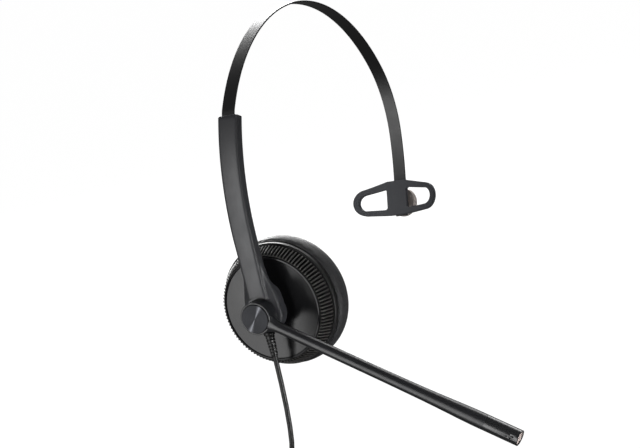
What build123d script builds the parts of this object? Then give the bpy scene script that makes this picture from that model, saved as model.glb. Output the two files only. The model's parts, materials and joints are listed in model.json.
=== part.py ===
from build123d import *
import os
from math import cos, pi, radians, sin, tan

# One-ear office headset: a ribbed ear cup on a curved upright arm, a sprung steel
# band over the head, a rubber T-bar on the far side and a turning microphone boom.
# Millimetres. The origin is the middle of the wearer's head on the ear cup's axis.
# The wearer faces -Y, +Z is up and the ear cup is on the -X side.

os.makedirs("parts", exist_ok=True)

# ---------------------------------------------------------------- driving sizes
cup_x = -65.5  # the ear cup's rim plane

rim_r = 30.3
dish_r = 25.6
dish_lip_x = cup_x - 9.4
dish_hole_r = 5.6
cushion_r = 31.3
cushion_hole_r = 14.0
cushion_front_x = cup_x + 16.0
rib_count = 100

arm_w = 10.8
arm_centre = (cup_x + 110.0, 38.0)  # X and Z of the arc that the band slides along
arm_out_r = 130.3
arm_in_r = 125.1
mouth_angle = 153.9
arm_low_angle = 180.0
slide_r = 128.8
channel_w = 8.0
channel_in_r = 126.2
channel_out_r = 129.3
arm_face_x = arm_centre[0] - arm_out_r
arm_back_x = arm_centre[0] - arm_in_r

boss_r = 9.6
boss_back_x = cup_x - 11.3
flare_x = cup_x - 17.5
recess_x = cup_x - 18.3
recess_r = 9.2
spigot_r = 4.0
spigot_end_x = cup_x - 23.6

strip_w = 6.8
strip_t = 0.8
strip_start_angle = 177.7  # on the slide's arc, retracted
strip_hidden_deg = 24.5
strip_arcs = [(12.0, 10.2), (89.3, 115.4), (58.2, 38.4), (135.0, 9.6)]  # radius, turn
strip_tail = 21.6

tbar_drop = 12.0  # along the strip's tail, from its last arc to the T-bar's plane origin
tbar_half = 24.0
tbar_curve_r = 75.0
tbar_offset = -3.7  # the curved plate's middle, towards the head from the strip
ball_y = -2.3
ball_z = 2.4
ball_r = 2.4
stud_r = 1.4
knob_r = 7.4

boom_x = cup_x - 23.3
boom_drop = 30.0  # degrees below straight ahead
boom_root_s = 18.0
mic_seam_s = 122.5
boom_tip_s = 139.8
mic_r = 3.85
boom_bore_r = 1.5
hub_r = 8.0
hub_in_x = cup_x - 18.6
hub_out_x = cup_x - 25.6
cap_r = 7.25
cap_face_x = cup_x - 26.1

swivel_x = cup_x - 3.0
bracket_pitch = 17.0
post_circle_r = 20.0
post_start = 30.0
running_gap = 0.05

cord_d = 2.5
cord_x = cup_x - 16.6
boot_top_z = -9.0
boot_end_z = -21.5
coil_r = 13.75  # middle of the turns
coil_columns = 3
coil_rows = 3
coil_top_z = -74.5
plug_w = 14.0


def turned(points):
    """Closed outline in X and radius, turned about the ear cup's axis."""
    with BuildPart() as piece:
        with BuildSketch(Plane.XZ):
            with BuildLine():
                Polyline(*points, close=True)
            make_face()
        revolve(axis=Axis.X)
    return piece


def disc(x0, x1, r_out, r_in=0.0):
    """Disc or ring about the ear cup's axis, between two X planes."""
    with BuildPart() as piece:
        with BuildSketch(Plane.YZ.offset(x0)):
            Circle(r_out)
            if r_in:
                Circle(r_in, mode=Mode.SUBTRACT)
        extrude(amount=x1 - x0)
    return piece


# ---------------------------------------------------------------- upright arm
def arm_point(radius, angle):
    """Point in X and Z on an arc about the arm's centre."""
    return (
        arm_centre[0] + radius * cos(radians(angle)),
        arm_centre[1] + radius * sin(radians(angle)),
    )


def arc_band(r_in, r_out, angle_a, angle_b):
    """Four edges of a curved band about the arm's centre, inside a BuildLine."""
    middle = (angle_a + angle_b) / 2
    ThreePointArc(arm_point(r_out, angle_a), arm_point(r_out, middle), arm_point(r_out, angle_b))
    Line(arm_point(r_out, angle_b), arm_point(r_in, angle_b))
    ThreePointArc(arm_point(r_in, angle_b), arm_point(r_in, middle), arm_point(r_in, angle_a))
    Line(arm_point(r_in, angle_a), arm_point(r_out, angle_a))


flare_top_z = 30.0
flare_low_z = 2.7
flare_mid_z = 16.5
step_top_z = 15.5  # where the back steps in from the boss to the slimmer arm
step_low_z = 9.5


def flare_outline(half_mid, half_low, low_r):
    """Arm widening into its round lower end, as Y and Z, inside a BuildLine."""
    half = arm_w / 2
    Line((-half, flare_top_z), (half, flare_top_z))
    ThreePointArc((half, flare_top_z), (half_mid, flare_mid_z), (half_low, flare_low_z))
    ThreePointArc((half_low, flare_low_z), (0, -low_r), (-half_low, flare_low_z))
    ThreePointArc((-half_low, flare_low_z), (-half_mid, flare_mid_z), (-half, flare_top_z))


with BuildPart() as arm_shell:
    with BuildSketch(Plane.YZ.offset(flare_x)):
        with BuildLine():
            flare_outline(6.0, 9.2, boss_r)
        make_face()
    extrude(amount=boss_back_x - flare_x)
    with BuildSketch(Plane.YZ.offset(flare_x)):
        with BuildLine():
            flare_outline(6.0, 9.2, boss_r)
        make_face()
    with BuildSketch(Plane.YZ.offset(arm_face_x)):
        with BuildLine():
            flare_outline(5.5, 5.9, 6.5)
        make_face()
    loft()
    # side view of the lower end: the back steps in from the boss to the slimmer arm
    with BuildSketch(Plane.XZ):
        with BuildLine():
            Polyline(
                (arm_face_x - 1, 31),
                (arm_back_x, 31),
                (arm_back_x, step_top_z),
                (boss_back_x, step_low_z),
                (boss_back_x, -12),
                (arm_face_x - 1, -12),
                close=True,
            )
        make_face()
    extrude(amount=boss_r + 2, both=True, mode=Mode.INTERSECT)
    with BuildSketch(Plane.XZ):
        with BuildLine():
            arc_band(arm_in_r, arm_out_r, mouth_angle, arm_low_angle)
        make_face()
        with Locations(((arm_face_x + arm_back_x) / 2, (flare_top_z + arm_centre[1]) / 2)):
            Rectangle(arm_back_x - arm_face_x, arm_centre[1] - flare_top_z)
    extrude(amount=arm_w / 2, both=True)
    # round recess for the boom's hub
    with BuildSketch(Plane.YZ.offset(recess_x)):
        Circle(recess_r)
    extrude(amount=-6, mode=Mode.SUBTRACT)
    # channel for the sliding band, and the cavity behind the hub
    with BuildSketch(Plane.XZ):
        with BuildLine():
            arc_band(channel_in_r, channel_out_r, mouth_angle - 1, arm_low_angle)
        make_face()
        with BuildLine():
            Polyline(
                arm_point(channel_out_r, 180.5),
                arm_point(channel_out_r, 179),
                arm_point(channel_in_r, 179),
                (arm_back_x - 1.1, step_top_z + 0.5),
                (boss_back_x - 1.0, step_low_z + 0.5),
                (boss_back_x - 1.0, 4),
                (boss_back_x - 5.3, 4),
                close=True,
            )
        make_face()
    extrude(amount=channel_w / 2, both=True, mode=Mode.SUBTRACT)
    # open back, closed by the inner cover
    with BuildSketch(Plane.XZ):
        with BuildLine():
            arc_band(arm_in_r - 1, channel_in_r, mouth_angle + 1.6, arm_low_angle)
        make_face()
        with BuildLine():
            Polyline(
                arm_point(arm_in_r - 1, 180),
                arm_point(channel_in_r, 180),
                (arm_back_x - 1.1, step_top_z + 0.5),
                (boss_back_x - 1.0, step_low_z + 0.5),
                (boss_back_x - 1.0, 4),
                (boss_back_x + 1.0, 4),
                (boss_back_x + 1.0, step_low_z + 2),
                (arm_back_x + 1.0, step_top_z + 3),
                close=True,
            )
        make_face()
    extrude(amount=channel_w / 2, both=True, mode=Mode.SUBTRACT)
    with BuildSketch(Plane.YZ.offset(boss_back_x + 1)):
        Circle(7.6)
    extrude(amount=-6.3, mode=Mode.SUBTRACT)
    # spigot that the boom's hub turns on, with a groove for its clip
    with BuildSketch(Plane.YZ.offset(boss_back_x - 5.3)):
        Circle(spigot_r)
    extrude(amount=spigot_end_x - boss_back_x + 5.3)
    with BuildSketch(Plane.YZ.offset(spigot_end_x + 0.5)):
        Circle(spigot_r + 1)
        Circle(spigot_r - 0.6, mode=Mode.SUBTRACT)
    extrude(amount=0.6, mode=Mode.SUBTRACT)
    with BuildSketch(Plane.YZ.offset(spigot_end_x)):
        Circle(2.4)
    extrude(amount=12, mode=Mode.SUBTRACT)
    # seat for the cord's boot
    with BuildSketch(Plane((cord_x, 0, boot_top_z - 2), z_dir=(0, 0, 1))):
        Circle(1.9)
    extrude(amount=4, mode=Mode.SUBTRACT)

# Inner cover: one thin plate along the arm's back and a disc over the boss.
cover_gap = 0.05
cover_w = channel_w - 2 * cover_gap
with BuildPart() as arm_inner_cover:
    with BuildSketch(Plane.XZ):
        with BuildLine():
            arc_band(arm_in_r, channel_in_r - 0.1, mouth_angle + 1.7, arm_low_angle)
        make_face()
        with BuildLine():
            Polyline(
                arm_point(channel_in_r - 0.1, 180),
                arm_point(arm_in_r, 180),
                (arm_back_x, step_top_z),
                (boss_back_x, step_low_z),
                (boss_back_x, 0),
                (boss_back_x - 1.0, 0),
                (boss_back_x - 1.0, step_low_z + 0.4),
                (arm_back_x - 1.0, step_top_z + 0.4),
                close=True,
            )
        make_face()
    extrude(amount=cover_w / 2, both=True)
    with BuildSketch(Plane.YZ.offset(boss_back_x)):
        Circle(7.6 - cover_gap)
    extrude(amount=-1.0)
    # seat for the swivel neck's foot
    with BuildSketch(Plane.YZ.offset(boss_back_x)):
        Circle(3.4 + cover_gap)
    extrude(amount=-1.0, mode=Mode.SUBTRACT)

# Collar that lines the mouth around the band.
with BuildPart() as mouth_collar:
    with BuildSketch(Plane.XZ):
        with BuildLine():
            arc_band(channel_in_r, channel_out_r, mouth_angle, mouth_angle + 1.4)
        make_face()
    extrude(amount=channel_w / 2, both=True)
    with BuildSketch(Plane.XZ):
        with BuildLine():
            arc_band(slide_r - 0.75, slide_r + 0.45, mouth_angle - 1, mouth_angle + 2)
        make_face()
    extrude(amount=strip_w / 2 + 0.3, both=True, mode=Mode.SUBTRACT)

# Leaf spring on the cover that gives the slide its friction.
with BuildPart() as detent_spring:
    with BuildSketch(Plane.XZ):
        with BuildLine():
            arc_band(channel_in_r - 0.1, channel_in_r + 0.1, 155.5, 161)
        make_face()
    extrude(amount=2.5, both=True)

neck_end_x = swivel_x - 2.9  # clears the block's corners as the cup turns
ear_end_x = swivel_x + 1.8
with BuildPart() as swivel_neck:
    with BuildSketch(Plane.YZ.offset(boss_back_x - 1.0)):
        Circle(3.4)
    extrude(amount=neck_end_x - boss_back_x + 1.0)
    with BuildSketch(Plane.YZ.offset(neck_end_x)):
        with GridLocations(0, 7.7, 1, 2):
            Rectangle(4.8, 1.7)
    extrude(amount=ear_end_x - neck_end_x)
    with BuildSketch(Plane.XY):
        with Locations((swivel_x, 0)):
            Circle(1.0)
    extrude(amount=6, both=True, mode=Mode.SUBTRACT)

with BuildPart() as swivel_pin:
    with BuildSketch(Plane.XY):
        with Locations((swivel_x, 0)):
            Circle(1.0)
    extrude(amount=4.7, both=True)

# Clip in the spigot's groove that keeps the hub on.
with BuildPart() as hub_clip:
    with BuildSketch(Plane.YZ.offset(spigot_end_x + 0.55)):
        Circle(spigot_r + 1.2)
        Circle(spigot_r - 0.6, mode=Mode.SUBTRACT)
        with Locations((0, -4)):
            Rectangle(3, 5, mode=Mode.SUBTRACT)
    extrude(amount=0.45)

hub_washer = disc(recess_x, hub_in_x + 0.02, 6.8, spigot_r + 0.3)

# ---------------------------------------------------------------- cord and plug
with BuildPart() as strain_relief:
    with BuildSketch(Plane.XZ):
        with BuildLine():
            Polyline(
                (cord_x, boot_top_z),
                (cord_x + 1.85, boot_top_z),
                (cord_x + 1.85, boot_top_z - 1.0),
                (cord_x + 2.25, boot_top_z - 1.0),
                (cord_x + 2.25, boot_top_z - 2.6),
                (cord_x + 1.95, boot_top_z - 2.6),
                (cord_x + 1.6, boot_end_z),
                (cord_x, boot_end_z),
                close=True,
            )
        make_face()
    revolve(axis=Axis((cord_x, 0, 0), (0, 0, 1)))

# The cord hangs straight from its boot, swings into a tied coil and ends in a plug.
coil_out_r = coil_r + (coil_rows - 1) / 2 * cord_d
coil_z = coil_top_z - coil_out_r - cord_d / 2
coil_x = cord_x + (coil_columns - 1) / 2 * cord_d
entry_angle = 42.0  # on the coil, from its top towards +Y
tail_x = cord_x + (coil_columns - 1) * cord_d
plug_top_z = coil_z - 34.0
cord_route = [
    (cord_x, 0, boot_end_z),
    (cord_x, 0, -67.0),
    (cord_x, coil_out_r * sin(radians(entry_angle)), coil_z + coil_out_r * cos(radians(entry_angle))),
]
tail_route = [
    (tail_x, coil_out_r, coil_z),
    (tail_x, coil_out_r, coil_z - 16.0),
    (tail_x, coil_out_r - 3.0, plug_top_z),
]


def bend_radii(points, label):
    """As large an arc at each corner as its two runs allow."""
    radii = []
    for before, corner, after in zip(points, points[1:], points[2:]):
        run_in = Vector(*corner) - Vector(*before)
        run_out = Vector(*after) - Vector(*corner)
        half_turn = radians(run_in.get_angle(run_out) / 2)
        radii.append(0.45 * min(run_in.length, run_out.length) / tan(half_turn))
    print(label, "bend radii", [round(radius, 1) for radius in radii])
    return radii


def cord_tube(points, label):
    """Round cord along straight runs and tangent arcs."""
    start = Vector(*points[0])
    with BuildPart() as piece:
        with BuildLine() as path:
            FilletPolyline(*points, radius=bend_radii(points, label))
        with BuildSketch(Plane(start, z_dir=Vector(*points[1]) - start)):
            Circle(cord_d / 2)
        sweep()
    section = pi * cord_d**2 / 4
    length = path.wire().length
    print(label, "length", round(length, 1), "volume", round(piece.part.volume, 1))
    print(label, "section times length", round(section * length, 1))
    return piece


cord_lead = cord_tube(cord_route, "cord lead")
cord_tail = cord_tube(tail_route, "cord tail")

coil_w = coil_columns * cord_d
coil_h = coil_rows * cord_d
coil_axis = Axis((coil_x, 0, coil_z), (1, 0, 0))
with BuildPart() as cord_coil:
    with BuildSketch(Plane.XZ):
        with Locations((coil_x, coil_z + coil_r)):
            RectangleRounded(coil_w, coil_h, cord_d / 2 - 0.05)
    revolve(axis=coil_axis)

tie_t = 0.8
tie_deg = 26.0
with BuildPart() as cord_tie:
    with BuildSketch(Plane.XZ):
        with Locations((coil_x, coil_z + coil_r)):
            RectangleRounded(coil_w + 2 * tie_t, coil_h + 2 * tie_t, cord_d / 2 + tie_t)
            RectangleRounded(coil_w, coil_h, cord_d / 2 - 0.05, mode=Mode.SUBTRACT)
    revolve(axis=coil_axis, revolution_arc=tie_deg)
    # a free tab stands on the outside of the strap
    with BuildSketch(Plane.YZ.offset(coil_x + coil_w / 2 + tie_t)):
        with Locations((0, coil_z + coil_r)):
            Rectangle(3, 5)
    extrude(amount=-0.3)

plug_axis_y = coil_out_r - 3.0
plug_boot_l = 12.0
plug_body_l = 30.0
plug_t = 9.0
plug_top = Plane((tail_x, plug_axis_y, plug_top_z), x_dir=(0, 1, 0), z_dir=(0, 0, -1))
with BuildPart() as plug_boot:
    with BuildSketch(plug_top):
        Circle(1.9)
    with BuildSketch(plug_top.offset(plug_boot_l)):
        Circle(3.2)
    loft()

with BuildPart() as plug_body:
    with BuildSketch(plug_top.offset(plug_boot_l)):
        RectangleRounded(plug_w, plug_t, 2.5)
    extrude(amount=plug_body_l)
    with BuildSketch(plug_top.offset(plug_boot_l + plug_body_l)):
        RectangleRounded(plug_w - 4, plug_t - 4, 0.8)
    extrude(amount=-9, mode=Mode.SUBTRACT)

with BuildPart() as plug_contacts:
    with BuildSketch(plug_top.offset(plug_boot_l + plug_body_l - 9)):
        RectangleRounded(plug_w - 4.2, plug_t - 4.2, 0.7)
    extrude(amount=2)
    with BuildSketch(plug_top.offset(plug_boot_l + plug_body_l - 7)):
        with GridLocations(2.2, 0, 4, 1):
            Rectangle(0.8, 2.4)
    extrude(amount=6)

# ---------------------------------------------------------------- head band
slide_start = arm_point(slide_r, strip_start_angle)
slide_heading = radians(strip_start_angle - 90)
with BuildPart() as headband_strip:
    with BuildSketch(Plane.XZ):
        with BuildLine() as band_line:
            hidden = JernArc(slide_start, (cos(slide_heading), sin(slide_heading)), slide_r, -strip_hidden_deg)
            reach = hidden
            for radius, turn in strip_arcs:
                reach = JernArc(reach @ 1, reach % 1, radius, -turn)
            tail = Line(reach @ 1, reach @ 1 + (reach % 1) * strip_tail)
        trace(line_width=strip_t)
    extrude(amount=strip_w / 2, both=True)
    tail_dir = Vector((tail % 1).X, 0, (tail % 1).Y)
    tail_start = Vector((tail @ 0).X, 0, (tail @ 0).Y)
    tbar_at = tail_start + tail_dir * tbar_drop
    outward = Vector(-tail_dir.Z, 0, tail_dir.X)
    tbar_plane = Plane(tbar_at, x_dir=(0, 1, 0), z_dir=outward)
    with BuildSketch(tbar_plane):
        with Locations((0, ball_y)):
            Circle(2.2)
        with Locations((0, ball_y + 5.2), (0, ball_y - 4.4)):
            Circle(0.9)
    extrude(amount=2, both=True, mode=Mode.SUBTRACT)

# Plastic block on the hidden end of the strip, riding in the arm's channel.
block_angle = strip_start_angle
rivet_r = 0.8


def rivet_planes():
    """Planes under the block, facing out through the strip, one for each rivet."""
    planes = []
    for angle in (block_angle - 1.5, block_angle - 3.5):
        x, z = arm_point(channel_in_r + 0.35, angle)
        planes.append(Plane((x, 0, z), z_dir=(cos(radians(angle)), 0, sin(radians(angle)))))
    return planes


rivet_length = slide_r - strip_t / 2 - channel_in_r - 0.35
with BuildPart() as slider_block:
    with BuildSketch(Plane.XZ):
        with BuildLine():
            arc_band(channel_in_r + 0.35, slide_r - strip_t / 2, block_angle - 5.0, block_angle)
        make_face()
    extrude(amount=channel_w / 2 - 0.35, both=True)
    for rivet_plane in rivet_planes():
        with BuildSketch(rivet_plane.offset(-0.5)):
            Circle(rivet_r)
        extrude(amount=rivet_length + 1, mode=Mode.SUBTRACT)

with BuildPart() as slider_rivets:
    for rivet_plane in rivet_planes():
        with BuildSketch(rivet_plane):
            Circle(rivet_r)
        extrude(amount=rivet_length - 0.02)

with BuildPart() as band_end_knob:
    with BuildSketch(tbar_plane.offset(0.45)):
        with Locations((0, ball_y)):
            Circle(knob_r)
    extrude(amount=4.5)
    fillet(band_end_knob.edges().sort_by(Axis(tbar_plane.origin, tbar_plane.z_dir))[-1], radius=1.6)
    with BuildSketch(tbar_plane):
        with Locations((0, ball_y)):
            Circle(2.05)
    extrude(amount=ball_z, mode=Mode.SUBTRACT)
    with Locations(tbar_plane.from_local_coords(Vector(0, ball_y, ball_z))):
        Sphere(ball_r + running_gap, mode=Mode.SUBTRACT)
    # relief around the strip and holes for its rivets
    with BuildSketch(tbar_plane):
        with Locations((0, ball_y + 5.2), (0, ball_y - 4.4)):
            Circle(0.9)
    extrude(amount=2.4, mode=Mode.SUBTRACT)
    # U-shaped relief on the inner face
    with BuildSketch(tbar_plane.offset(0.45)):
        with Locations((0, ball_y)):
            SlotCenterToCenter(5.0, 8.6, rotation=90)
            SlotCenterToCenter(5.0, 7.4, rotation=90, mode=Mode.SUBTRACT)
    extrude(amount=0.5, mode=Mode.SUBTRACT)

with BuildPart() as knob_rivets:
    with BuildSketch(tbar_plane.offset(-0.85)):
        with Locations((0, ball_y + 5.2), (0, ball_y - 4.4)):
            Circle(1.5)
    extrude(amount=0.45)
    with BuildSketch(tbar_plane.offset(-0.4)):
        with Locations((0, ball_y + 5.2), (0, ball_y - 4.4)):
            Circle(0.85)
    extrude(amount=2.7)

# ---------------------------------------------------------------- T-bar
head_z = tbar_offset - 0.65
with BuildPart() as tbar_ball:
    with Locations(tbar_plane.from_local_coords(Vector(0, ball_y, ball_z))):
        Sphere(ball_r)
    with BuildSketch(tbar_plane.offset(head_z)):
        with Locations((0, ball_y)):
            Circle(2.2)
    extrude(amount=0.6)
    with BuildSketch(tbar_plane.offset(head_z)):
        with Locations((0, ball_y)):
            Circle(stud_r)
    extrude(amount=ball_z - head_z)

tbar_section_plane = Plane(tbar_at, x_dir=(0, 1, 0), z_dir=tail_dir * -1)
tbar_y_mid = -0.5
end_r = 7.0
end_reach = tbar_half - end_r
crown_y = 8.6
tbar_rim = 2.7
foot_y = -9.4


def tbar_layer(r_in, r_out, stud_hole_r, hole_from):
    """One curved layer of the T-bar, with its rounded outline, two windows and stud hole."""
    with BuildPart() as piece:
        with BuildSketch(tbar_section_plane):
            with Locations((0, tbar_curve_r - tbar_offset)):
                Circle(r_out)
                Circle(r_in, mode=Mode.SUBTRACT)
        extrude(amount=14, both=True)
        with BuildSketch(tbar_plane.offset(-16)):
            with BuildLine():
                Polyline(
                    (-5, crown_y),
                    (5, crown_y),
                    (end_reach + 1, tbar_y_mid + 5.9),
                    (end_reach + 1, tbar_y_mid - 7.9),
                    (5, foot_y),
                    (-5, foot_y),
                    (-end_reach - 1, tbar_y_mid - 7.9),
                    (-end_reach - 1, tbar_y_mid + 5.9),
                    close=True,
                )
            make_face()
            with Locations((end_reach, tbar_y_mid - 1.0), (-end_reach, tbar_y_mid - 1.0)):
                Circle(end_r)
        extrude(amount=17, mode=Mode.INTERSECT)
        with BuildSketch(tbar_plane.offset(-16)) as windows:
            for side in (1, -1):
                with BuildLine():
                    Polyline(
                        (side * 5.6, crown_y - 3.9),
                        (side * (end_reach + 0.5), tbar_y_mid + 3.3),
                        (side * (end_reach + 0.5), tbar_y_mid - 5.3),
                        (side * 5.6, foot_y + 3.1),
                        close=True,
                    )
                make_face()
                with Locations((side * end_reach, tbar_y_mid - 1.0)):
                    Circle(end_r - tbar_rim)
            fillet(windows.vertices().filter_by(lambda v: abs(v.X) < 6.5), radius=1.2)
        extrude(amount=17, mode=Mode.SUBTRACT)
        with BuildSketch(tbar_plane.offset(hole_from)):
            with Locations((0, ball_y)):
                Circle(stud_hole_r)
        extrude(amount=3, mode=Mode.SUBTRACT)
    return piece


tbar_pad = tbar_layer(tbar_curve_r - 1.3, tbar_curve_r, 2.4, head_z - 0.15)
tbar_plate = tbar_layer(tbar_curve_r, tbar_curve_r + 1.3, stud_r + running_gap, head_z)
with BuildPart() as tbar_socket:
    with BuildSketch(tbar_plane.offset(tbar_offset + 1.3)):
        with Locations((0, ball_y)):
            Circle(3.2)
            Circle(stud_r + running_gap, mode=Mode.SUBTRACT)
    extrude(amount=1.0)

# ---------------------------------------------------------------- microphone boom
boom_dir = Vector(0, -cos(radians(boom_drop)), -sin(radians(boom_drop)))
boom_origin = Vector(boom_x, 0, 0)
boom_axis = Axis(boom_origin, boom_dir)
boom_side = Plane(boom_origin, x_dir=boom_dir, z_dir=(1, 0, 0))
boom_outline = [(55.0, 2.8), (83.0, 3.0), (98.0, 3.3), (112.0, 3.75), (mic_seam_s, mic_r)]
boom_root_r = 2.6


def along_boom(s):
    """Plane square to the boom at a distance from the hub's axis."""
    return Plane(boom_origin + boom_dir * s, x_dir=(1, 0, 0), z_dir=boom_dir)


with BuildPart() as boom_hub:
    with BuildSketch(Plane.YZ.offset(hub_in_x)):
        Circle(hub_r)
    extrude(amount=hub_out_x - hub_in_x)
    fillet(boom_hub.edges().group_by(Axis.X)[0], radius=0.4)
    with BuildSketch(along_boom(hub_r - 3)):
        Circle(boom_root_r)
    extrude(amount=boom_root_s - hub_r + 3)
    # room for the clip and the wires, and a counterbore for the cap
    with BuildSketch(Plane.YZ.offset(spigot_end_x + 1.4)):
        Circle(6.2)
    extrude(amount=-5, mode=Mode.SUBTRACT)
    with BuildSketch(Plane.YZ.offset(hub_out_x + 1.0)):
        Circle(cap_r + running_gap)
    extrude(amount=-2, mode=Mode.SUBTRACT)
    with BuildSketch(Plane.YZ.offset(hub_in_x + 1)):
        Circle(spigot_r + running_gap)
    extrude(amount=-9, mode=Mode.SUBTRACT)
    # wire way into the boom
    with BuildSketch(along_boom(5.0)):
        Circle(boom_bore_r)
    extrude(amount=boom_root_s, mode=Mode.SUBTRACT)

with BuildPart() as hub_cap:
    with BuildSketch(Plane.YZ.offset(hub_out_x + 1.0)):
        Circle(cap_r)
    extrude(amount=cap_face_x - hub_out_x - 1.0)
    chamfer(hub_cap.edges().group_by(Axis.X)[0], length=0.35)

with BuildPart() as boom_tube:
    with BuildSketch(boom_side):
        with BuildLine():
            Line((boom_root_s, boom_bore_r), (boom_root_s, boom_root_r))
            Spline([(boom_root_s, boom_root_r)] + boom_outline)
            Line((mic_seam_s, mic_r), (mic_seam_s, boom_bore_r))
            Line((mic_seam_s, boom_bore_r), (boom_root_s, boom_bore_r))
        make_face()
    revolve(axis=boom_axis)

# Port holes on the outer side: distance along the boom, degrees up from straight out.
mic_ports = [(134.3, 0.0), (135.4, 21.0), (136.2, -3.0), (137.4, 13.0)]
with BuildPart() as mic_housing:
    with BuildSketch(along_boom(mic_seam_s)):
        Circle(mic_r)
    extrude(amount=boom_tip_s - mic_seam_s)
    with BuildSketch(along_boom(mic_seam_s + 1.5)):
        Circle(mic_r - 0.7)
    extrude(amount=20, mode=Mode.SUBTRACT)
    with BuildSketch(along_boom(mic_seam_s - 1)):
        Circle(boom_bore_r)
    extrude(amount=5, mode=Mode.SUBTRACT)
    boom_up = Vector(0, -sin(radians(boom_drop)), cos(radians(boom_drop)))
    for port_s, port_deg in mic_ports:
        port_dir = Vector(-1, 0, 0) * cos(radians(port_deg)) + boom_up * sin(radians(port_deg))
        with BuildSketch(Plane(boom_origin + boom_dir * port_s + port_dir * 2.5, z_dir=port_dir)):
            Circle(0.4)
        extrude(amount=3, mode=Mode.SUBTRACT)

with BuildPart() as mic_end_disc:
    with BuildSketch(along_boom(boom_tip_s - 1.1)):
        Circle(mic_r - 0.7)
    extrude(amount=0.7)

with BuildPart() as mic_gasket:
    with BuildSketch(along_boom(mic_seam_s + 3.5)):
        Circle(mic_r - 0.7)
        Circle(2.0, mode=Mode.SUBTRACT)
    extrude(amount=6.5)

with BuildPart() as mic_capsule:
    with BuildSketch(along_boom(mic_seam_s + 4.5)):
        Circle(2.0)
    extrude(amount=4.5)

with BuildPart() as mic_lead:
    with BuildSketch(along_boom(6.5)):
        Circle(0.6)
    extrude(amount=mic_seam_s + 4.5 - 6.5)

# ---------------------------------------------------------------- ear cup
with BuildPart() as cup_shell:
    # posts for the bracket's and the baffle's screws
    with BuildSketch(Plane.YZ.offset(cup_x - 6.9)):
        with GridLocations(bracket_pitch, 0, 2, 1):
            Circle(1.7)
    extrude(amount=6.7)
    with BuildSketch(Plane.YZ.offset(cup_x - 7.2)):
        with PolarLocations(post_circle_r, 3, start_angle=post_start):
            Circle(2.2)
    extrude(amount=10.6)
    with BuildSketch(Plane.XY):
        with BuildLine():
            ThreePointArc((cup_x - 7.5, dish_hole_r), (cup_x - 7.95, 15), (dish_lip_x + 0.5, 24.6))
            Polyline(
                (dish_lip_x + 0.5, 24.6),
                (dish_lip_x, 25.0),
                (dish_lip_x + 0.1, dish_r),
                (cup_x + 3.4, dish_r),
                (cup_x + 3.4, dish_r - 1.3),
                (cup_x - 6.9, dish_r - 1.3),
            )
            ThreePointArc((cup_x - 6.9, dish_r - 1.3), (cup_x - 6.5, 15), (cup_x - 6.1, dish_hole_r))
            Line((cup_x - 6.1, dish_hole_r), (cup_x - 7.5, dish_hole_r))
        make_face()
    revolve(axis=Axis.X)
    with BuildSketch(Plane.YZ.offset(cup_x - 4)):
        with GridLocations(bracket_pitch, 0, 2, 1):
            Circle(0.8)
        with PolarLocations(post_circle_r, 3, start_angle=post_start):
            Circle(0.9)
    extrude(amount=9, mode=Mode.SUBTRACT)

ledge_r = 29.0
with BuildPart() as ribbed_ring:
    with BuildSketch(Plane.XZ):
        with BuildLine():
            Polyline(
                (cup_x - 8.8, dish_r + 0.05),
                (cup_x - 8.8, dish_r + 0.5),
                (cup_x - 1.4, ledge_r),
                (cup_x + 3.4, ledge_r - 0.2),
                (cup_x + 3.4, ledge_r - 1.3),
                (cup_x - 1.6, ledge_r - 1.3),
                (cup_x - 5.2, dish_r + 0.05),
                close=True,
            )
        make_face()
    revolve(axis=Axis.X)
    with BuildSketch(Plane.XZ) as rib_side:
        with BuildLine():
            Polyline(
                (cup_x - 8.6, dish_r + 0.3),
                (cup_x - 8.7, dish_r + 1.2),
                (cup_x - 2.1, ledge_r + 0.7),
                (cup_x - 1.4, ledge_r - 0.3),
                close=True,
            )
        make_face()
    rib = extrude(rib_side.sketch, amount=0.45, both=True, mode=Mode.PRIVATE)
    add([rib.rotate(Axis.X, 360 / rib_count * step) for step in range(rib_count)])

rim_ring = turned([
    (cup_x - 1.3, ledge_r + 0.02),
    (cup_x - 1.3, rim_r - 0.4),
    (cup_x - 0.9, rim_r),
    (cup_x + 0.8, rim_r),
    (cup_x + 1.1, rim_r - 0.3),
    (cup_x + 1.1, ledge_r + 0.02),
])

with BuildPart() as baffle:
    with BuildSketch(Plane.YZ.offset(cup_x + 3.4)):
        Circle(28.2)
        Circle(14.0, mode=Mode.SUBTRACT)
        with PolarLocations(24, 12, start_angle=15):
            Circle(0.8, mode=Mode.SUBTRACT)
        with PolarLocations(post_circle_r, 3, start_angle=post_start):
            Circle(1.0, mode=Mode.SUBTRACT)
    extrude(amount=1.4)
    with BuildSketch(Plane.YZ.offset(cup_x + 4.2)):
        with PolarLocations(post_circle_r, 3, start_angle=post_start):
            Circle(1.8)
    extrude(amount=2, mode=Mode.SUBTRACT)

with BuildPart() as baffle_screws:
    with BuildSketch(Plane.YZ.offset(cup_x + 4.2)):
        with PolarLocations(post_circle_r, 3, start_angle=post_start):
            Circle(1.7)
    extrude(amount=0.6)
    with BuildSketch(Plane.YZ.offset(cup_x - 2)):
        with PolarLocations(post_circle_r, 3, start_angle=post_start):
            Circle(0.85)
    extrude(amount=6.2)

with BuildPart() as swivel_bracket:
    with BuildSketch(Plane.YZ.offset(cup_x - 0.2)):
        SlotCenterToCenter(bracket_pitch, 5.6)
        with GridLocations(bracket_pitch, 0, 2, 1):
            Circle(0.9, mode=Mode.SUBTRACT)
    extrude(amount=1.2)
    with BuildSketch(Plane.YZ.offset(cup_x - 0.2)):
        with GridLocations(10.4, 0, 2, 1):
            Rectangle(2.4, 4.6)
    extrude(amount=-4.8)
    with BuildSketch(Plane.XZ):
        with Locations((swivel_x, 0)):
            Circle(1.2 + running_gap)
    extrude(amount=8, both=True, mode=Mode.SUBTRACT)

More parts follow.
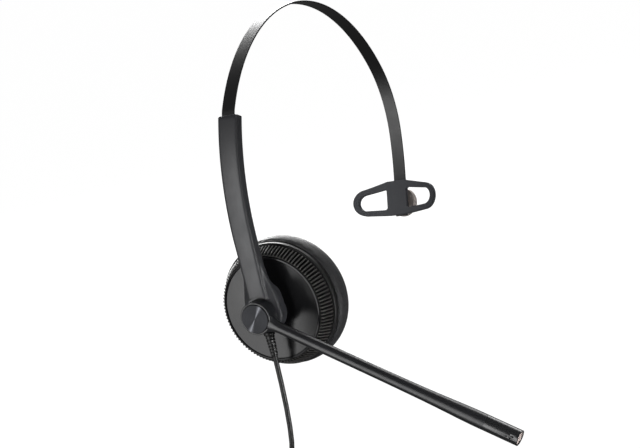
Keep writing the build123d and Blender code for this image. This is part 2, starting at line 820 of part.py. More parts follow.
with BuildPart() as bracket_screws:
    with BuildSketch(Plane.YZ.offset(cup_x + 1.0)):
        with GridLocations(bracket_pitch, 0, 2, 1):
            Circle(1.5)
    extrude(amount=0.7)
    with BuildSketch(Plane.YZ.offset(cup_x - 3.5)):
        with GridLocations(bracket_pitch, 0, 2, 1):
            Circle(0.75)
    extrude(amount=4.5)

# Cross piece between the arm's upright pin and the ear cup's bracket.
with BuildPart() as swivel_block:
    with BuildSketch(Plane.YZ.offset(swivel_x - 2.1)):
        Rectangle(5.4, 5.4)
    extrude(amount=4.2)
    with BuildSketch(Plane.XZ):
        with Locations((swivel_x, 0)):
            Circle(1.2)
    extrude(amount=6.4, both=True)
    with BuildSketch(Plane.XY):
        with Locations((swivel_x, 0)):
            Circle(1.0 + running_gap)
    extrude(amount=6, both=True, mode=Mode.SUBTRACT)

driver_magnet = disc(cup_x + 1.9, cup_x + 3.7, 6.5)
driver_frame = turned([
    (cup_x + 3.7, 2.0),
    (cup_x + 3.7, 13.8),
    (cup_x + 4.8, 13.8),
    (cup_x + 4.8, 15.2),
    (cup_x + 5.6, 15.2),
    (cup_x + 5.6, 12.6),
    (cup_x + 4.5, 12.6),
    (cup_x + 4.5, 2.0),
])
voice_coil = disc(cup_x + 4.6, cup_x + 5.5, 5.4, 4.9)
diaphragm = disc(cup_x + 5.6, cup_x + 5.9, 13.4)

with BuildPart() as terminal_board:
    with BuildSketch(Plane.YZ.offset(cup_x + 3.4)):
        with Locations((10, 17)):
            Rectangle(9, 5)
    extrude(amount=-1.0)

with BuildPart() as cushion_plate:
    with BuildSketch(Plane.YZ.offset(cup_x + 4.8)):
        Circle(28.8)
        Circle(15.4, mode=Mode.SUBTRACT)
    extrude(amount=1.3)

cushion_cloth = disc(cup_x + 6.5, cup_x + 6.9, cushion_hole_r - 0.2)

# Leatherette cushion with the skirt that folds round behind its plate.
cushion_back_x = cup_x + 6.1
with BuildPart() as ear_cushion:
    with BuildSketch(Plane.XZ):
        with BuildLine():
            Line((cup_x + 1.3, 29.8), (cup_x + 1.3, 30.6))
            ThreePointArc((cup_x + 1.3, 30.6), (cup_x + 8, cushion_r), (cup_x + 13, 29.6))
            ThreePointArc((cup_x + 13, 29.6), (cup_x + 15.1, 27.6), (cushion_front_x, 25.0))
            Line((cushion_front_x, 25.0), (cushion_front_x, 19.0))
            ThreePointArc((cushion_front_x, 19.0), (cup_x + 14.3, 15.6), (cup_x + 10.5, cushion_hole_r))
            Line((cup_x + 10.5, cushion_hole_r), (cushion_back_x, cushion_hole_r))
            Line((cushion_back_x, cushion_hole_r), (cushion_back_x, 29.8))
            Line((cushion_back_x, 29.8), (cup_x + 1.3, 29.8))
        make_face()
    revolve(axis=Axis.X)

# ---------------------------------------------------------------- files
pieces = {
    "arm_shell": arm_shell,
    "arm_inner_cover": arm_inner_cover,
    "mouth_collar": mouth_collar,
    "detent_spring": detent_spring,
    "swivel_neck": swivel_neck,
    "swivel_pin": swivel_pin,
    "hub_clip": hub_clip,
    "hub_washer": hub_washer,
    "strain_relief": strain_relief,
    "cord_lead": cord_lead,
    "cord_coil": cord_coil,
    "cord_tail": cord_tail,
    "cord_tie": cord_tie,
    "plug_boot": plug_boot,
    "plug_body": plug_body,
    "plug_contacts": plug_contacts,
    "headband_strip": headband_strip,
    "slider_block": slider_block,
    "slider_rivets": slider_rivets,
    "band_end_knob": band_end_knob,
    "knob_rivets": knob_rivets,
    "tbar_ball": tbar_ball,
    "tbar_pad": tbar_pad,
    "tbar_plate": tbar_plate,
    "tbar_socket": tbar_socket,
    "boom_hub": boom_hub,
    "hub_cap": hub_cap,
    "boom_tube": boom_tube,
    "mic_housing": mic_housing,
    "mic_end_disc": mic_end_disc,
    "mic_gasket": mic_gasket,
    "mic_capsule": mic_capsule,
    "mic_lead": mic_lead,
    "cup_shell": cup_shell,
    "ribbed_ring": ribbed_ring,
    "rim_ring": rim_ring,
    "baffle": baffle,
    "baffle_screws": baffle_screws,
    "swivel_bracket": swivel_bracket,
    "bracket_screws": bracket_screws,
    "swivel_block": swivel_block,
    "driver_magnet": driver_magnet,
    "driver_frame": driver_frame,
    "voice_coil": voice_coil,
    "diaphragm": diaphragm,
    "terminal_board": terminal_board,
    "cushion_plate": cushion_plate,
    "cushion_cloth": cushion_cloth,
    "ear_cushion": ear_cushion,
}
for label, piece in pieces.items():
    piece.part.label = label
    export_step(piece.part, f"parts/{label}.step")
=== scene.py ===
import json
from math import cos, hypot, pi, radians, sin

import bmesh
import bpy
from mathutils import Matrix, Vector, noise


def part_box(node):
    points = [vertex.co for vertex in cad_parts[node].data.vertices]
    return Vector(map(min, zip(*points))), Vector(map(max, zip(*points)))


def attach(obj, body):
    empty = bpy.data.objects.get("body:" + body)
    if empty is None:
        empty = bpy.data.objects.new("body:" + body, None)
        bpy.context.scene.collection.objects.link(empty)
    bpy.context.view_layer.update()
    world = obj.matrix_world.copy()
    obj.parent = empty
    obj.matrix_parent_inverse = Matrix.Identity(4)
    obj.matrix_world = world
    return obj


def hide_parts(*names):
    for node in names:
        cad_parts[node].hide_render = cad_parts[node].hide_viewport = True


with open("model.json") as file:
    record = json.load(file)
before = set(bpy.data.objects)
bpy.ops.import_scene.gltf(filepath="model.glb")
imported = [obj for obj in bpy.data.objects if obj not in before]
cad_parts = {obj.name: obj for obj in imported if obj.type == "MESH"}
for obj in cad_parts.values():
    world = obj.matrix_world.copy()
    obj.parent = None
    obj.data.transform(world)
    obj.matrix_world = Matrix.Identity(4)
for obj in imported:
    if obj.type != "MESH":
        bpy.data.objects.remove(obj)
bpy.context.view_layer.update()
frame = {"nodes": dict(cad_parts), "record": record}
nodes = frame["nodes"]
scene = bpy.context.scene
scene.view_settings.view_transform = "Standard"

# ---------------------------------------------------------------- camera
# the photograph's viewpoint
CAMERA_AT = (-1.08477, -0.63013, 0.24769)
CAMERA_RIGHT = Vector((0.45661, -0.85919, -0.23087))
CAMERA_UP = Vector((0.26661, -0.11543, 0.95687))
CAMERA_BACK = Vector((-0.84878, -0.49847, 0.17636))

camera_data = bpy.data.cameras.new("camera")
camera_data.sensor_fit = "HORIZONTAL"
camera_data.sensor_width = 36.0
camera_data.lens = 143.37
camera_data.clip_start = 0.01
camera_data.clip_end = 60.0
camera = bpy.data.objects.new("camera", camera_data)
scene.collection.objects.link(camera)
camera.matrix_world = Matrix.Translation(CAMERA_AT) @ Matrix(
    (CAMERA_RIGHT, CAMERA_UP, CAMERA_BACK)
).transposed().to_4x4()
scene.camera = camera


# ---------------------------------------------------------------- materials
class Tree:
    """A material's node tree, with short calls for the nodes used here."""

    def __init__(self, name):
        self.material = bpy.data.materials.new(name)
        self.material.use_nodes = True
        self.tree = self.material.node_tree
        self.shader = self.tree.nodes["Principled BSDF"]
        self.coords = self.add("ShaderNodeTexCoord").outputs["Object"]

    def add(self, kind, **values):
        node = self.tree.nodes.new(kind)
        for key, value in values.items():
            if key in node.inputs:
                node.inputs[key].default_value = value
            else:
                setattr(node, key, value)
        return node

    def link(self, out, into):
        self.tree.links.new(out, into)

    def noise(self, scale, detail=2.0, rough=0.5):
        node = self.add("ShaderNodeTexNoise", Scale=scale, Detail=detail, Roughness=rough)
        self.link(self.coords, node.inputs["Vector"])
        return node.outputs["Fac"]

    def between(self, factor, low, high, start=0.3, end=0.7):
        node = self.add("ShaderNodeMapRange")
        node.inputs["From Min"].default_value = start
        node.inputs["From Max"].default_value = end
        node.inputs["To Min"].default_value = low
        node.inputs["To Max"].default_value = high
        self.link(factor, node.inputs["Value"])
        return node.outputs["Result"]

    def ramp(self, factor, low, high, start=0.3, end=0.7):
        node = self.add("ShaderNodeValToRGB")
        node.color_ramp.elements[0].position = start
        node.color_ramp.elements[1].position = end
        node.color_ramp.elements[0].color = (*low, 1)
        node.color_ramp.elements[1].color = (*high, 1)
        self.link(factor, node.inputs["Fac"])
        return node.outputs["Color"]

    def bump(self, height, depth, strength=1.0, onto=None):
        node = self.add("ShaderNodeBump", Strength=strength, Distance=depth)
        self.link(height, node.inputs["Height"])
        if onto is not None:
            self.link(onto, node.inputs["Normal"])
        return node.outputs["Normal"]


def shade(colour, k):
    """A colour made k times as bright."""
    return tuple(min(1.0, c * k) for c in colour)


def moulded(name, colour, rough, grain=0.00001, grain_scale=2600.0, vary=0.12, rough_vary=0.05, specular=0.5):
    """Moulded plastic or rubber: spark-textured surface, slight colour and gloss variation."""
    t = Tree(name)
    blotch = t.noise(38.0, 3.0)
    t.link(t.ramp(blotch, shade(colour, 1 - vary), shade(colour, 1 + vary)), t.shader.inputs["Base Color"])
    smudge = t.noise(160.0, 4.0, 0.6)
    t.link(t.between(smudge, rough - rough_vary, rough + rough_vary), t.shader.inputs["Roughness"])
    fine = t.noise(grain_scale, 2.0)
    t.link(t.bump(fine, grain, 0.6), t.shader.inputs["Normal"])
    t.shader.inputs["Specular IOR Level"].default_value = specular
    return t.material


def metal(name, colour, rough):
    """Bare or plated metal with fine tool marks."""
    t = Tree(name)
    t.shader.inputs["Metallic"].default_value = 1.0
    marks = t.noise(900.0, 3.0, 0.6)
    t.link(t.ramp(marks, shade(colour, 0.86), shade(colour, 1.12)), t.shader.inputs["Base Color"])
    t.link(t.between(marks, rough - 0.06, rough + 0.06), t.shader.inputs["Roughness"])
    t.link(t.bump(marks, 0.000004, 0.4), t.shader.inputs["Normal"])
    return t.material


def spun_metal_with_painted_highlight(name, colour, rough):
    """Spun disc about the ear cup's axis: fine rings cut into dark anodised metal, with a painted highlight
    of two bright wedges in its colour.
    """
    t = Tree(name)
    t.shader.inputs["Metallic"].default_value = 1.0
    parts = t.add("ShaderNodeSeparateXYZ")
    t.link(t.coords, parts.inputs["Vector"])
    flat = t.add("ShaderNodeCombineXYZ")
    t.link(parts.outputs["Y"], flat.inputs["X"])
    t.link(parts.outputs["Z"], flat.inputs["Y"])
    length = t.add("ShaderNodeVectorMath", operation="LENGTH")
    t.link(flat.outputs["Vector"], length.inputs[0])
    rings = t.add("ShaderNodeTexNoise", Scale=14000.0, Detail=2.0)
    rings.noise_dimensions = "1D"
    t.link(length.outputs["Value"], rings.inputs["W"])
    # painted highlight: two opposite bright wedges in the base colour, standing in for the light a spun disc
    # reflects; a fixed pattern, not a reflection
    unit = t.add("ShaderNodeVectorMath", operation="NORMALIZE")
    t.link(flat.outputs["Vector"], unit.inputs[0])
    turn = t.add("ShaderNodeVectorMath", operation="DOT_PRODUCT")
    turn.inputs[1].default_value = (0.81, 0.58, 0)  # across the wedges
    t.link(unit.outputs["Vector"], turn.inputs[0])
    away = t.add("ShaderNodeMath", operation="ABSOLUTE")
    t.link(turn.outputs["Value"], away.inputs[0])
    highlight_mask = t.between(away.outputs["Value"], 1.0, 0.0, 0.02, 0.30)
    highlight_narrowed = t.add("ShaderNodeMath", operation="POWER")
    highlight_narrowed.inputs[1].default_value = 2.2
    t.link(highlight_mask, highlight_narrowed.inputs[0])
    # painted highlight: the base colour rises to 6.5 times its value inside the wedges
    painted_highlight = t.ramp(highlight_narrowed.outputs["Value"], colour, shade(colour, 6.5), 0.0, 1.0)
    fine = t.ramp(rings.outputs["Fac"], (0.8, 0.8, 0.8), (1.2, 1.2, 1.2))
    mixed = t.add("ShaderNodeMix", data_type="RGBA", blend_type="MULTIPLY")
    mixed.inputs["Factor"].default_value = 1.0
    t.link(painted_highlight, mixed.inputs["A"])
    t.link(fine, mixed.inputs["B"])
    t.link(mixed.outputs["Result"], t.shader.inputs["Base Color"])
    t.link(t.between(rings.outputs["Fac"], rough - 0.05, rough + 0.05), t.shader.inputs["Roughness"])
    t.link(t.bump(rings.outputs["Fac"], 0.000004, 0.5), t.shader.inputs["Normal"])
    t.shader.inputs["Anisotropic"].default_value = 0.6
    tangent = t.add("ShaderNodeTangent", direction_type="RADIAL", axis="X")
    t.link(tangent.outputs["Tangent"], t.shader.inputs["Tangent"])
    return t.material


def leather(name, colour):
    """Protein leatherette: small pebbled grain with a soft sheen and creases."""
    t = Tree(name)
    cells = t.add("ShaderNodeTexVoronoi", Scale=2600.0, feature="DISTANCE_TO_EDGE")
    warp = t.noise(700.0, 3.0)
    mixed = t.add("ShaderNodeMix", data_type="VECTOR")
    mixed.inputs["Factor"].default_value = 0.0006
    t.link(t.coords, mixed.inputs["A"])
    spread = t.add("ShaderNodeCombineXYZ")
    for axis in "XYZ":
        t.link(warp, spread.inputs[axis])
    t.link(spread.outputs["Vector"], mixed.inputs["B"])
    t.link(mixed.outputs["Result"], cells.inputs["Vector"])
    grain = t.between(cells.outputs["Distance"], 0.0, 1.0, 0.0, 0.22)
    t.link(t.ramp(grain, shade(colour, 0.75), shade(colour, 1.1), 0.0, 0.8), t.shader.inputs["Base Color"])
    t.link(t.between(t.noise(120.0, 3.0), 0.50, 0.64), t.shader.inputs["Roughness"])
    creases = t.bump(t.noise(240.0, 4.0, 0.55), 0.0001, 0.35)
    t.link(t.bump(grain, 0.00004, 0.7, creases), t.shader.inputs["Normal"])
    t.shader.inputs["Sheen Weight"].default_value = 0.08
    t.shader.inputs["Sheen Roughness"].default_value = 0.4
    return t.material


def woven(name, colour, thread, sheen=0.2):
    """Fine cloth or mesh, threads crossing in Y and Z with dark gaps between them."""
    t = Tree(name)
    height = None
    for axis in ("Y", "Z"):
        wave = t.add("ShaderNodeTexWave", Scale=pi / thread / 10.0, wave_profile="SIN", bands_direction=axis)
        t.link(t.coords, wave.inputs["Vector"])
        if height is None:
            height = wave.outputs["Fac"]
        else:
            both = t.add("ShaderNodeMath", operation="MAXIMUM")
            t.link(height, both.inputs[0])
            t.link(wave.outputs["Fac"], both.inputs[1])
            height = both.outputs["Value"]
    threads = t.ramp(height, shade(colour, 0.35), shade(colour, 1.15), 0.35, 0.95)
    t.link(threads, t.shader.inputs["Base Color"])
    t.link(t.between(t.noise(500.0), 0.75, 0.92), t.shader.inputs["Roughness"])
    t.link(t.bump(height, thread * 0.3, 0.8), t.shader.inputs["Normal"])
    t.shader.inputs["Sheen Weight"].default_value = sheen
    return t.material


MATERIALS = {
    name: moulded(name, *row) for name, row in {
        # colour, roughness, grain depth and scale, colour and roughness variation, specular level
        "arm_plastic": ((0.034, 0.035, 0.040), 0.45, 0.000008, 2600.0, 0.08, 0.03, 0.85),
        "boom_plastic": ((0.016, 0.0165, 0.019), 0.34, 0.000003, 2600.0, 0.08, 0.03, 0.62),
        "mic_plastic": ((0.013, 0.0135, 0.015), 0.26, 0.000002, 2600.0, 0.08, 0.03, 0.85),
        "cup_plastic": ((0.009, 0.009, 0.010), 0.21, 0.000004, 1800.0, 0.10, 0.03, 0.36),
        # rib_plastic is lightened to stand in for highlights on the ribs' crests: a painted highlight
        "rib_plastic": ((0.060, 0.058, 0.054), 0.34, 0.000003, 2200.0, 0.10, 0.04, 0.8),
        # rib_shadow: near-black painted shade for the grooves between the ribs
        "rib_shadow": ((0.003, 0.003, 0.003), 0.45, 0.000003, 2200.0, 0.10, 0.04, 0.3),
        "rim_plastic": ((0.010, 0.010, 0.0105), 0.48, 0.00001, 2200.0, 0.10, 0.04, 0.35),
        "inner_plastic": ((0.030, 0.030, 0.030), 0.48),
        "band_steel": ((0.007, 0.007, 0.0075), 0.41, 0.000001, 1500.0, 0.08, 0.02, 0.72),
        "soft_rubber": ((0.072, 0.075, 0.084), 0.55, 0.000015, 1900.0, 0.08, 0.04),
        "cord_jacket": ((0.013, 0.013, 0.013), 0.42, 0.00001, 2200.0, 0.1, 0.05),
        "knob_plastic": ((0.64, 0.57, 0.53), 0.42, 0.00001, 2200.0, 0.1, 0.04),
        "board": ((0.02, 0.16, 0.06), 0.35, 0.00001, 1500.0),
    }.items()
}
MATERIALS |= {
    "bright_steel": metal("bright_steel", (0.55, 0.55, 0.56), 0.26),
    "magnet_metal": metal("magnet_metal", (0.6, 0.6, 0.61), 0.2),
    "copper": metal("copper", (0.72, 0.38, 0.22), 0.3),
    "cap_metal": spun_metal_with_painted_highlight("cap_metal", (0.016, 0.0164, 0.0178), 0.30),
    "leatherette": leather("leatherette", (0.024, 0.024, 0.026)),
    "cloth": woven("cloth", (0.035, 0.035, 0.036), 0.00045),
    "mesh_cloth": woven("mesh_cloth", (0.55, 0.46, 0.43), 0.00035, 0.1),
}
# nodes that look different from the rest of their material slot
NODE_MATERIALS = {
    "boom_hub": "boom_plastic",
    "boom_tube": "boom_plastic",
    "mic_housing": "mic_plastic",
    "rim_ring": "rim_plastic",
}
slots_of = {part["node"]: part["material_slot"] for part in frame["record"]["subparts"]}


def material_for(node):
    """The material of a CAD node."""
    return MATERIALS[NODE_MATERIALS.get(node, slots_of[node])]


for name, obj in nodes.items():
    obj.data.materials.clear()
    obj.data.materials.append(material_for(name))


# ---------------------------------------------------------------- edge rounding
def round_edges(name, width):
    """Small moulded radius on a CAD node's sharp edges, without changing its mesh."""
    obj = nodes[name]
    weld = obj.modifiers.new("weld", "WELD")
    weld.merge_threshold = 0.000002
    flat = obj.modifiers.new("flat", "DECIMATE")
    flat.decimate_type = "DISSOLVE"
    flat.angle_limit = radians(0.4)
    bevel = obj.modifiers.new("bevel", "BEVEL")
    bevel.width = width
    bevel.segments = 2
    bevel.limit_method = "ANGLE"
    bevel.angle_limit = radians(28)
    bevel.miter_outer = "MITER_ARC"
    bevel.harden_normals = True
    even = obj.modifiers.new("even", "WEIGHTED_NORMAL")
    even.keep_sharp = True
    even.weight = 80


for name, width in {
    "headband_strip": 0.00012,
    "tbar_pad": 0.0003,
    "tbar_plate": 0.0003,
    "mic_housing": 0.0002,
    "boom_hub": 0.0002,
    "plug_body": 0.0008,
    "mouth_collar": 0.0001,
    "arm_inner_cover": 0.00015,
    "cord_tie": 0.00015,
}.items():
    round_edges(name, width)


# ---------------------------------------------------------------- pieces
def loose(name, mesh):
    """A mesh as an object of the scene."""
    obj = bpy.data.objects.new(name, mesh)
    scene.collection.objects.link(obj)
    return obj


def piece(name, mesh, material, body, replaces=()):
    """A new mesh as a named piece that rides on a body."""
    obj = loose(name, mesh)
    mesh.materials.clear()
    mesh.materials.append(MATERIALS[material])
    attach(obj, body)
    if replaces:
        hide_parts(*replaces)
    return obj


def turned_mesh(name, profile, steps):
    """Quads from a closed profile in (x, radius), turned about the ear cup's axis."""
    bm = bmesh.new()
    rings = []
    for step in range(steps):
        a = 2 * pi * step / steps
        rings.append([bm.verts.new((x, r * cos(a), r * sin(a))) for x, r in profile])
    count = len(profile)
    for step in range(steps):
        here, there = rings[step], rings[(step + 1) % steps]
        for i in range(count):
            j = (i + 1) % count
            bm.faces.new((here[i], here[j], there[j], there[i]))
    bmesh.ops.recalc_face_normals(bm, faces=bm.faces)
    mesh = bpy.data.meshes.new(name)
    bm.to_mesh(mesh)
    bm.free()
    mesh.shade_smooth()
    return mesh


def grid_faces(rows, across, close_rows=False, close_across=False):
    """Quads over a grid of points listed row by row, closed round in either direction."""
    faces = []
    for i in range(rows if close_rows else rows - 1):
        here, there = i * across, (i + 1) % rows * across
        for j in range(across if close_across else across - 1):
            k = (j + 1) % across
            faces.append((here + j, here + k, there + k, there + j))
    return faces


def mesh_from(name, verts, faces):
    """A mesh with its faces turned outwards."""
    mesh = bpy.data.meshes.new(name)
    mesh.from_pydata(verts, [], faces)
    bm = bmesh.new()
    bm.from_mesh(mesh)
    bmesh.ops.recalc_face_normals(bm, faces=bm.faces)
    bm.to_mesh(mesh)
    bm.free()
    return mesh


def cut(obj, *cutters):
    """Takes the cutters' volumes out of obj, for good."""
    for cutter in cutters:
        boolean = obj.modifiers.new("cut", "BOOLEAN")
        boolean.operation = "DIFFERENCE"
        boolean.solver = "EXACT"
        boolean.object = cutter
    bpy.context.view_layer.update()
    made = bpy.data.meshes.new_from_object(obj.evaluated_get(bpy.context.evaluated_depsgraph_get()))
    obj.modifiers.clear()
    obj.data = made
    for cutter in cutters:
        bpy.data.objects.remove(cutter)


# ---------------------------------------------------------------- upright arm
ARM_CENTRE = (0.0445, 0.038)  # X and Z of the arm's curve
ARM_R = 0.1303
ARM_HALF = 0.0054
ARM_DEPTH = 0.0052
MOUTH = radians(153.9)
BOSS_R = 0.0096
BOSS_DEPTH = 0.0090
FLARE_OVER = 0.0038  # how far the boss stands out past the plain arm on each side
STEP_Z = (0.0095, 0.0155)  # where the back steps from the boss's depth to the arm's
SEAT_R = 0.0076  # round end of the inner cover's seat
RECESS_R = 0.0092  # round recess for the boom's hub
RECESS_X = -0.0838
BAND_SLOT = (0.1262, 0.1293, 0.004)  # inner and outer radius and half width of the band's slot
PAD_DEPTH = 0.0028  # from the arm's front to the boss's front


def smooth(value):
    """Eased step: 0 below 0, 1 above 1."""
    value = max(0.0, min(1.0, value))
    return value * value * (3 - 2 * value)


def arm_widths(z):
    """Half widths of the arm's front, its boss and the inner cover's seat, and its depth, at a height."""
    fall = smooth((0.030 - z) / 0.0273)
    front = ARM_HALF - 0.0004 * smooth((0.045 - z) / 0.03) + 0.0008 * smooth((0.012 - z) / 0.01)
    if z > 0.0027:
        boss = ARM_HALF + FLARE_OVER * fall ** 1.7
    else:
        boss = BOSS_R * max(0.0, 1 - (z / BOSS_R) ** 2) ** 0.5
    if z < 0.0:
        front = min(front, 0.0065 * max(0.0, 1 - (z / 0.0075) ** 2) ** 0.5)
    front = max(0.0006, min(front, boss - 0.00005))
    boss = max(boss, 0.0009)
    seat = 0.004 if z > 0 else 0.0
    if abs(z) < SEAT_R:
        seat = max(seat, (SEAT_R ** 2 - z * z) ** 0.5)
    deep = 1 - smooth((z - STEP_Z[0]) / (STEP_Z[1] - STEP_Z[0]))
    return front, boss, max(0.0002, min(seat, boss - 0.0006)), ARM_DEPTH + (BOSS_DEPTH - ARM_DEPTH) * deep


def arm_section(z, inset=0.0):
    """Half outline of the arm from the middle of its front to the middle of its back: y and depth."""
    front, boss, seat, deep = arm_widths(z)
    front, boss = front - inset, boss - inset
    # at the arm's lower end the front falls back to the boss's front
    sunk = PAD_DEPTH * max(0.0, min(1.0, (-z - 0.0065) / 0.0031))
    corner = min(0.0011, front * 0.8)
    crown = 0.00028  # the front's slight curve
    side = 1 - smooth((z - 0.010) / 0.022)  # 0 on the plain arm, 1 at the boss
    points = []
    for i in range(7):
        y = (front - corner * 0.8) * i / 6
        points.append((max(0.0, y), inset + crown * (y / front) ** 2))
    for i in range(1, 6):
        a = pi / 2 * i / 5
        points.append((front - corner * 0.8 + corner * 0.8 * sin(a), inset + crown + corner * (1 - cos(a))))
    start = crown + corner
    for i in range(1, 7):
        t = i / 6
        y = front + (boss - front) * smooth(t)
        points.append((y, start + (PAD_DEPTH - start) * t + 0.0004 * side * t))
    points.append((boss, max(PAD_DEPTH + 0.0006, (PAD_DEPTH + deep) / 2)))
    for i in range(4):
        a = pi / 2 * i / 3
        points.append((boss - 0.0005 * (1 - cos(a)), deep - 0.0005 * (1 - sin(a))))
    # the seat's depth fades out with its width, but its points never quite meet
    sink = 0.00106 * smooth((seat - 0.0002) / 0.001) + 0.00002
    points += [(seat, deep), (seat, deep - sink), (0.0, deep - sink)]
    return [(y, max(d, sunk)) for y, d in points]


# angles about the arm's centre, each with how far its edges are drawn in, then heights below them
arm_stations = [(MOUTH, 0.00045), (MOUTH + 0.0012, 0.00018), (MOUTH + 0.0034, 0.0)]
arm_stations += [(MOUTH + 0.0034 + (pi - MOUTH - 0.0034) * i / 30, 0.0) for i in range(1, 31)]
arm_heights = [0.038 - 0.0020 * i for i in range(1, 13)]
arm_heights += [0.013 - 0.00075 * i for i in range(0, 19)]
arm_heights += [-0.0018, -0.0032, -0.0046, -0.0058, -0.0068, -0.0076, -0.0083, -0.0088, -0.0092]
arm_heights += [-0.00945, -0.00957]
PLAIN_Z = 0.05  # added on the curve, which puts its section above every change of width
arm_rings = []
for angle, inset in arm_stations:
    out = Vector((cos(angle), 0, sin(angle)))
    middle = Vector((ARM_CENTRE[0], 0, ARM_CENTRE[1])) + out * ARM_R
    half = arm_section(PLAIN_Z + middle.z, inset)
    arm_rings.append([middle - out * d + Vector((0, y, 0)) for y, d in half])
for z in arm_heights:
    middle = Vector((ARM_CENTRE[0] - ARM_R, 0, z))
    arm_rings.append([middle + Vector((d, y, 0)) for y, d in arm_section(z)])
arm_verts = []
for ring in arm_rings:
    left = [Vector((p.x, -p.y, p.z)) for p in ring[1:-1]]
    arm_verts += ring + left[::-1]
ring_len = len(arm_rings[0]) * 2 - 2
arm_faces = grid_faces(len(arm_rings), ring_len, close_across=True)
arm_faces.append(tuple(range(ring_len)))
arm_faces.append(tuple(range((len(arm_rings) - 1) * ring_len, len(arm_rings) * ring_len))[::-1])
arm_case = loose("arm_case", mesh_from("arm_case", arm_verts, arm_faces))


def disc_cutter(x0, x1, radius, steps=160):
    """A round plug along X, for cut()."""
    angles = [2 * pi * i / steps for i in range(steps)]
    verts = [(x, radius * cos(a), radius * sin(a)) for x in (x0, x1) for a in angles]
    faces = grid_faces(2, steps, close_across=True)
    faces += [tuple(range(steps))[::-1], tuple(range(steps, 2 * steps))]
    return loose("cutter", mesh_from("cutter", verts, faces))


def band_cutter(r_in, r_out, half, a0, a1, steps=12):
    """A curved bar about the arm's centre, for cut()."""
    verts = []
    for i in range(steps + 1):
        a = a0 + (a1 - a0) * i / steps
        for r, y in ((r_in, -half), (r_in, half), (r_out, half), (r_out, -half)):
            verts.append((ARM_CENTRE[0] + r * cos(a), y, ARM_CENTRE[1] + r * sin(a)))
    faces = grid_faces(steps + 1, 4, close_across=True)
    faces += [(3, 2, 1, 0), (4 * steps, 4 * steps + 1, 4 * steps + 2, 4 * steps + 3)]
    return loose("cutter", mesh_from("cutter", verts, faces))


cut(
    arm_case,
    disc_cutter(-0.095, RECESS_X, RECESS_R),
    band_cutter(*BAND_SLOT, MOUTH - 0.02, MOUTH + 0.3),
)
arm_case.data.shade_smooth()
arm_case.data.set_sharp_from_angle(angle=radians(40))
arm_case.data.materials.clear()
arm_case.data.materials.append(MATERIALS["arm_plastic"])
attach(arm_case, "arm")
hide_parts("arm_shell")

# ---------------------------------------------------------------- ribbed ring
CUP_X = -0.0655
RIBS = 100
RIB_STEPS = 10
RIB_H = 0.00075
GROOVE = 0.0006
CREST_ROWS = range(3, 17)  # along the cone
CREST_STEPS = range(3, 7)  # across one rib
# the ribs' cone in X and radius: its outer end and its end at the rim
CONE_A = (CUP_X - 0.0088, 0.0261)
CONE_B = (CUP_X - 0.0014, 0.0290)
cone_len = hypot(CONE_B[0] - CONE_A[0], CONE_B[1] - CONE_A[1])
cone_dir = ((CONE_B[0] - CONE_A[0]) / cone_len, (CONE_B[1] - CONE_A[1]) / cone_len)
# X, radius, and how much of the rib's height stands there
ring_profile = [
    (CUP_X - 0.0052, 0.02565, 0.0), (CUP_X - 0.0087, 0.02565, 0.0), (CUP_X - 0.0088, 0.02575, 0.0),
]
for i in range(15):
    u = i / 14
    rise = smooth((u - 0.03) / 0.10) * smooth((0.985 - u) / 0.07)
    x, r = (a + (b - a) * u for a, b in zip(CONE_A, CONE_B))
    ring_profile.append((x, r, rise))
ring_profile += [(CUP_X + 0.0034, 0.0288, 0.0), (CUP_X + 0.0034, 0.0277, 0.0), (CUP_X - 0.0016, 0.0277, 0.0)]
ring_verts = []
ring_steps = RIBS * RIB_STEPS
for step in range(ring_steps):
    a = 2 * pi * step / ring_steps
    across = abs((step % RIB_STEPS) / RIB_STEPS * 2 - 1)  # 1 in the groove's middle, 0 on the crest
    crest = 1 - smooth((across - 0.30) / 0.38)
    crest *= 1 - 0.16 * across
    for x, r, rise in ring_profile:
        h = rise * (RIB_H * crest - GROOVE * (1 - crest))
        x, r = x - h * cone_dir[1], r + h * cone_dir[0]
        ring_verts.append((x, r * cos(a), r * sin(a)))
profile_len = len(ring_profile)
ring_faces = grid_faces(ring_steps, profile_len, close_rows=True, close_across=True)
ring_mesh = mesh_from("cup_ribs", ring_verts, ring_faces)
ring_mesh.shade_smooth()
ring_mesh.set_sharp_from_angle(angle=radians(55))
piece("cup_ribs", ring_mesh, "rib_plastic", "ear_cup", ("ribbed_ring",))
# painted shade: all but the ribs' crests is in a near-black material that stands in for shade in the grooves;
# the crests keep the lighter rib colour as a painted highlight
ring_mesh.materials.append(MATERIALS["rib_shadow"])
for face in ring_mesh.polygons:
    step, row = divmod(face.index, profile_len)
    if row not in CREST_ROWS or step % RIB_STEPS not in CREST_STEPS:
        face.material_index = 1

# ---------------------------------------------------------------- ear cushion
# the skin's section from its outer seam round to its inner seam: X from CUP_X, and radius
CUSHION_WALK = [
    (0.0016, 0.0303), (0.0030, 0.03055), (0.0055, 0.03085), (0.0080, 0.0309), (0.0105, 0.0304),
    (0.0128, 0.0293), (0.0144, 0.0277), (0.0153, 0.0258), (0.01555, 0.0238), (0.01560, 0.0220),
    (0.01555, 0.0202), (0.0152, 0.0184), (0.0144, 0.0168), (0.0131, 0.0154), (0.0113, 0.0146),
    (0.0092, 0.0143), (0.0072, 0.0142),
]
CUSHION_STEPS = 168
CUSHION_CAP = 0.0007  # the most that the simulation may move a point
UNEVEN = 0.00012
CLOTH_SCALE = 10.0  # the simulation runs on an enlarged copy


